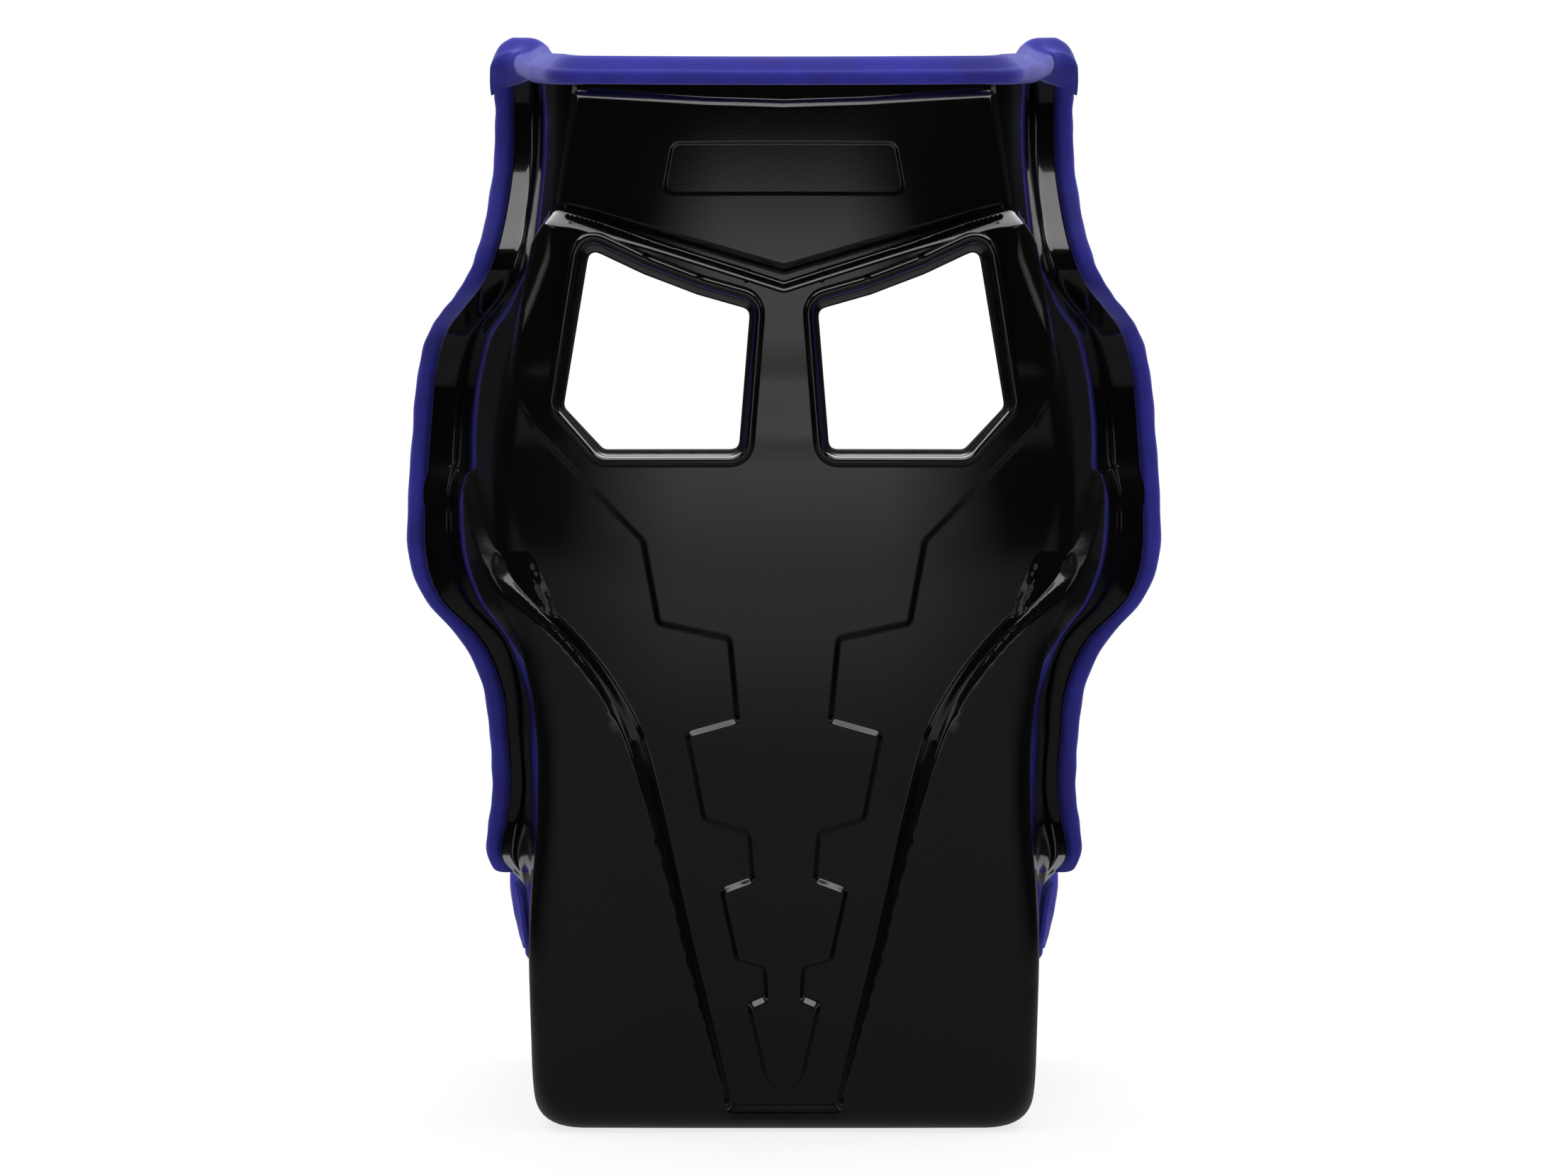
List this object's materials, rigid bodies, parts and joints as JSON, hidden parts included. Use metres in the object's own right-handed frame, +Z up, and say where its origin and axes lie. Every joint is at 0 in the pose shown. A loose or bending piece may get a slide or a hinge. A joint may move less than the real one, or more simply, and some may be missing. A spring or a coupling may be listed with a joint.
{
  "type": "racing seat",
  "caption": "Fixed-back bucket racing seat: a moulded shell with head, shoulder, rib and thigh wings, harness slots, padded edges and lift-out cushions.",
  "frame": {"origin": "on the flat base's underside, in the middle plane, midway between the side mounting bolts", "axes": "+X towards the occupant's right, +Y forward, +Z up"},
  "size_m": [0.6242, 0.7422, 0.866],
  "materials": {
    "shell_gloss": "gloss",
    "fabric_blue": "suede",
    "fabric_black": "knitted",
    "trim_plastic": "satin",
    "hook_and_loop": "looped",
    "mount_steel": "zinc plated"
  },
  "bodies": {
    "root": {"shell": "shell_gloss", "seat_liner": "fabric_black", "hip_pad_left": "fabric_black", "hip_pad_right": "fabric_black", "belt_trim_left": "fabric_blue", "belt_trim_right": "fabric_blue", "head_top_roll": "fabric_blue", "head_pad": "fabric_black", "head_wing_pad_left": "fabric_blue", "head_wing_pad_right": "fabric_blue", "shoulder_bolster_left": "fabric_blue", "shoulder_bolster_right": "fabric_blue", "rib_bolster_left": "fabric_blue", "rib_bolster_right": "fabric_blue", "back_pad": "fabric_black", "edge_roll_left": "fabric_blue", "edge_roll_right": "fabric_blue", "thigh_bolster_left": "fabric_blue", "thigh_bolster_right": "fabric_blue", "thigh_roll_left": "fabric_blue", "thigh_roll_right": "fabric_blue", "front_roll": "fabric_blue", "seat_grip_strips": "hook_and_loop", "leg_grip_strips": "hook_and_loop", "lumbar_grip_strips": "hook_and_loop", "harness_trim_left": "trim_plastic", "harness_trim_right": "trim_plastic", "crotch_strap_guide": "trim_plastic", "side_mount_plate_left": "mount_steel", "side_mount_plate_right": "mount_steel"},
    "seat_cushion": {"seat_cushion": "fabric_black"},
    "leg_cushion": {"leg_cushion": "fabric_black"},
    "lumbar_cushion": {"lumbar_cushion": "fabric_black"}
  },
  "joints": [
    {"name": "seat_cushion_lift", "type": "slide", "parent": "root", "child": "seat_cushion", "axis": [0, 0, 1], "range_m": [0, 0.1]},
    {"name": "leg_cushion_lift", "type": "slide", "parent": "root", "child": "leg_cushion", "axis": [0, 0, 1], "range_m": [0, 0.1]},
    {"name": "lumbar_cushion_pull", "type": "slide", "parent": "root", "child": "lumbar_cushion", "axis": [0, 0.9848, 0.1736], "range_m": [0, 0.1]}
  ]
}
